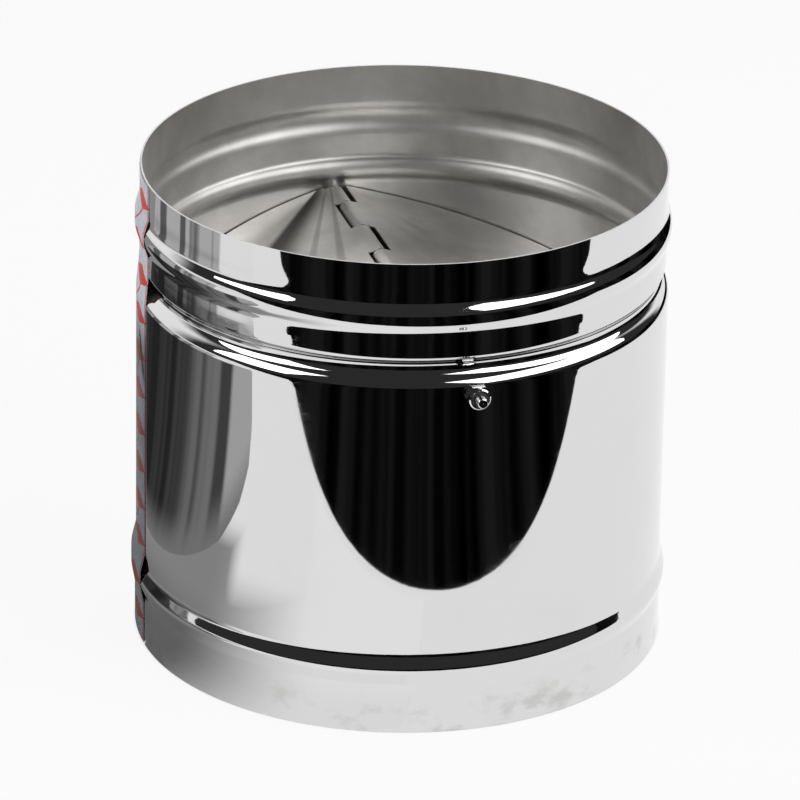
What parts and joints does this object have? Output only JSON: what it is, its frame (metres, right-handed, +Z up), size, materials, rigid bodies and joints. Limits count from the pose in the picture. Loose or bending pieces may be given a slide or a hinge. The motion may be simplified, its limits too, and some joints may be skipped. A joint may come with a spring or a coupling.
{
  "type": "backdraft damper",
  "caption": "Round sheet-steel duct damper: a beaded tube with hinged half-round blades on a cross rod that swing open with the flow and spring shut against backflow.",
  "frame": {"origin": "centre of the lower rim, on the plane that the damper stands on", "axes": "+Z up along the duct axis towards the spigot end, Y along the hinge rod, +X towards the right blade"},
  "size_m": [0.1535, 0.1646, 0.1416],
  "materials": {
    "polished_tube": "mirror-polished outside, dull satin inside",
    "satin_blade": "satin",
    "bright_rod": "bright drawn",
    "bright_nut": "bright",
    "dark_insert": "matt",
    "spring_wire": "drawn wire",
    "film": "glossy film with red printed marks"
  },
  "bodies": {
    "housing": {"tube_shell": "polished_tube", "hinge_rod": "bright_rod", "lock_nut_front": "bright_nut", "lock_nut_rear": "bright_nut", "nut_insert_front": "dark_insert", "nut_insert_rear": "dark_insert", "torsion_spring": "spring_wire", "film_strip": "film"},
    "left_blade": {"blade_left": "satin_blade"},
    "right_blade": {"blade_right": "satin_blade"}
  },
  "joints": [
    {"name": "left_blade_hinge", "type": "hinge", "parent": "housing", "child": "left_blade", "pos_m": [0, 0, 0.1026], "axis": [0, -1, 0], "range_deg": [0, 70], "stiffness_Nm_per_rad": 0.012, "springref_deg": -91.67, "deforming": ["torsion_spring"]},
    {"name": "right_blade_hinge", "type": "hinge", "parent": "housing", "child": "right_blade", "pos_m": [0, 0, 0.1026], "axis": [0, 1, 0], "range_deg": [0, 70], "stiffness_Nm_per_rad": 0.012, "springref_deg": -91.67, "deforming": ["torsion_spring"]}
  ]
}
